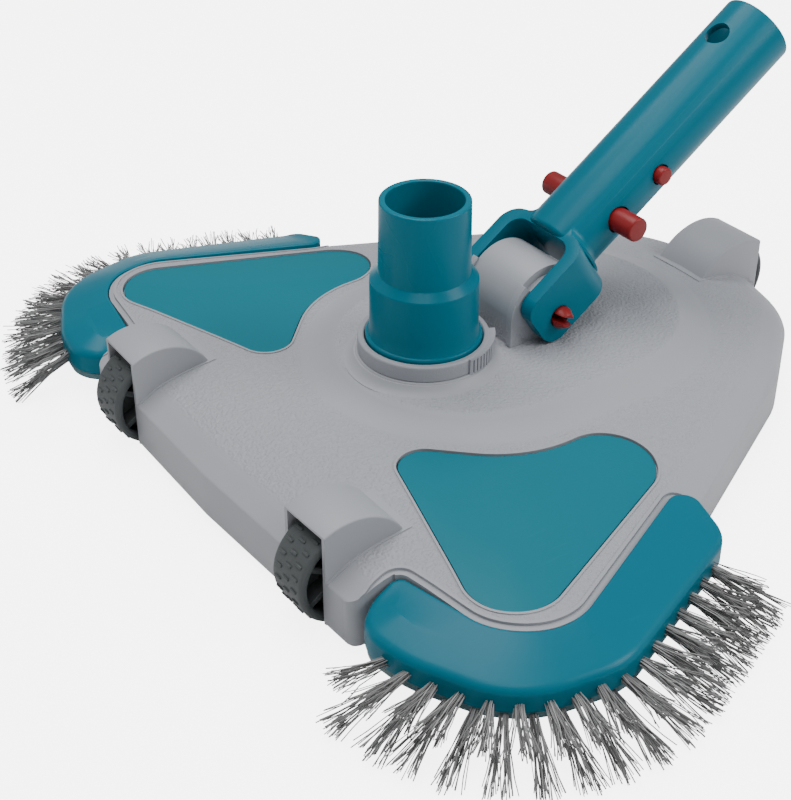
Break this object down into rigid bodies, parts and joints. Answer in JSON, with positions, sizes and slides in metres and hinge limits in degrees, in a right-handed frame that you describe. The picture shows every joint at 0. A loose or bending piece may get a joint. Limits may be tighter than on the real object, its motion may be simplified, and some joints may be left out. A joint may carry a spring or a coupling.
{
  "type": "manual pool vacuum head",
  "caption": "Weighted triangular vacuum head for manual pool cleaning, with side brushes, wheels, a swivelling hose spigot and a tilting pole handle with a spring clip.",
  "frame": {"origin": "on the floor under the centre of the bounding box", "axes": "+Z up; +Y from the front edge towards the rear wheel, the way the handle leans; +X across the head towards the brush on the right in a plan view with +Y up"},
  "size_m": [0.346, 0.2838, 0.1345],
  "materials": {
    "grey_plastic": "fine leather grain on flat areas, smooth elsewhere",
    "teal_plastic": "smooth satin",
    "strip_plastic": "smooth",
    "red_plastic": "smooth",
    "wheel_plastic": "moulded tread",
    "bristle_nylon": "fine filaments",
    "steel": "plain",
    "cast_weight": "rough",
    "seal_rubber": "smooth"
  },
  "bodies": {
    "head": {"axle_front_left": "steel", "axle_front_right": "steel", "axle_rear": "steel", "base_plate": "grey_plastic", "base_screw_1": "steel", "base_screw_2": "steel", "base_screw_3": "steel", "base_screw_4": "steel", "base_screw_5": "steel", "base_screw_6": "steel", "bristles_lower_left": "bristle_nylon", "bristles_lower_right": "bristle_nylon", "bristles_upper_left": "bristle_nylon", "bristles_upper_right": "bristle_nylon", "brush_holder_left": "teal_plastic", "brush_holder_right": "teal_plastic", "brush_screw_1": "steel", "brush_screw_2": "steel", "brush_screw_3": "steel", "brush_screw_4": "steel", "brush_strip_left": "strip_plastic", "brush_strip_right": "strip_plastic", "spigot_seal": "seal_rubber", "top_shell": "grey_plastic", "weight_cover_left": "teal_plastic", "weight_cover_right": "teal_plastic", "weight_left": "cast_weight", "weight_right": "cast_weight"},
    "wheel_front_left": {"wheel_front_left": "wheel_plastic"},
    "wheel_front_right": {"wheel_front_right": "wheel_plastic"},
    "wheel_rear": {"wheel_rear": "wheel_plastic"},
    "hose_spigot": {"hose_spigot": "teal_plastic"},
    "lock_ring": {"lock_ring": "grey_plastic"},
    "handle": {"handle": "teal_plastic", "pivot_pin": "red_plastic", "clip_bend": "red_plastic"},
    "clip_left": {"clip_arm_left": "red_plastic"},
    "clip_right": {"clip_arm_right": "red_plastic"}
  },
  "joints": [
    {"name": "front_left_wheel_spin", "type": "hinge", "parent": "head", "child": "wheel_front_left", "pos_m": [-0.0604, -0.1081, 0.018], "axis": [1, 0, 0], "continuous": true},
    {"name": "front_right_wheel_spin", "type": "hinge", "parent": "head", "child": "wheel_front_right", "pos_m": [0.0604, -0.1081, 0.018], "axis": [1, 0, 0], "continuous": true},
    {"name": "rear_wheel_spin", "type": "hinge", "parent": "head", "child": "wheel_rear", "pos_m": [0, 0.1239, 0.018], "axis": [1, 0, 0], "continuous": true},
    {"name": "hose_swivel", "type": "hinge", "parent": "head", "child": "hose_spigot", "pos_m": [0, -0.0276, 0.06], "axis": [0, 0, 1], "continuous": true},
    {"name": "lock_ring_twist", "type": "hinge", "parent": "head", "child": "lock_ring", "pos_m": [0, -0.0276, 0.0414], "axis": [0, 0, 1], "range_deg": [0, 30]},
    {"name": "handle_tilt", "type": "hinge", "parent": "head", "child": "handle", "pos_m": [0, 0.018, 0.0452], "axis": [1, 0, 0], "range_deg": [-29, 54]},
    {"name": "clip_left_press", "type": "slide", "parent": "handle", "child": "clip_left", "axis": [1, 0, 0], "range_m": [0, 0.0085], "stiffness_N_per_m": 600, "springref_m": -0.001},
    {"name": "clip_right_press", "type": "slide", "parent": "handle", "child": "clip_right", "axis": [-1, 0, 0], "range_m": [0, 0.0085], "stiffness_N_per_m": 600, "springref_m": -0.001}
  ]
}
